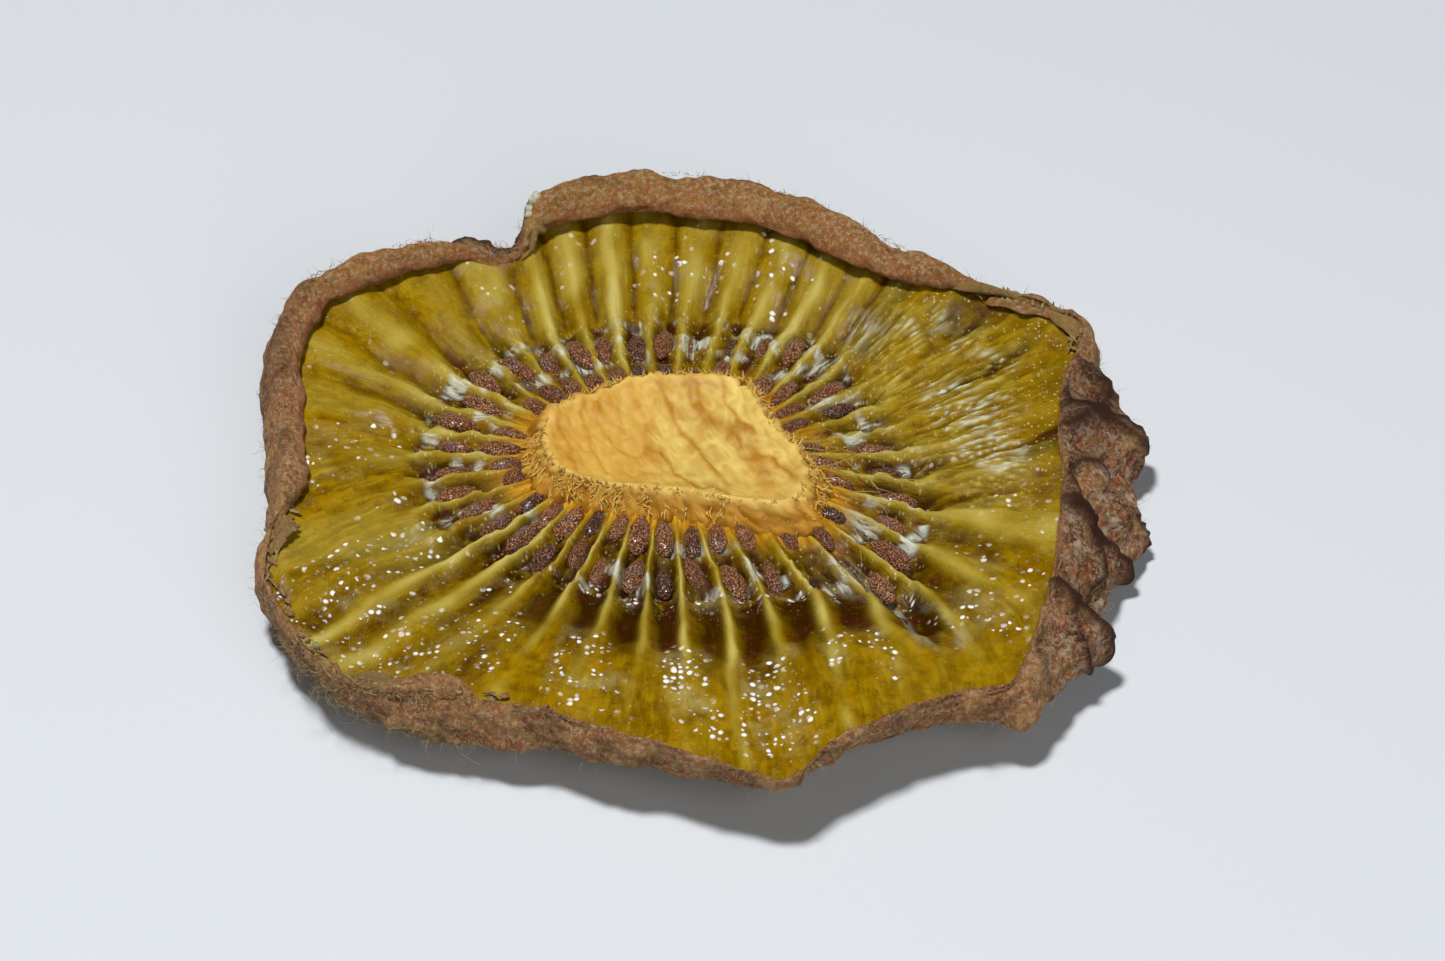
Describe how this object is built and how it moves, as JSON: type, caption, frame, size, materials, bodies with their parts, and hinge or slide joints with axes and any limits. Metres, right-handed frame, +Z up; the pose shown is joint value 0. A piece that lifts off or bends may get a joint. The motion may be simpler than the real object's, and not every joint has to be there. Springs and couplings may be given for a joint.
{
  "type": "dried kiwi fruit slice",
  "caption": "Dried kiwi fruit slice with its hairy peel on: a shallow warped bowl of ribbed flesh with a pale core, a ring of seeds and a curled brown edge.",
  "frame": {"origin": "middle of the flat spot that the slice rests on, straight under the middle of the core", "axes": "+Z up out of the bowl, +X along the core's length towards the flared side of the peel, +Y towards the side where the peel is rolled in"},
  "size_m": [0.0433, 0.0406, 0.0071],
  "materials": {
    "flesh": "glossy translucent olive gold dried fruit flesh",
    "core": "waxy pale orange yellow core",
    "peel": "dry rough brown peel with short hairs",
    "seed": "beaded reddish brown seed"
  },
  "bodies": {
    "root": {"kiwi_slice": "flesh"}
  },
  "joints": []
}
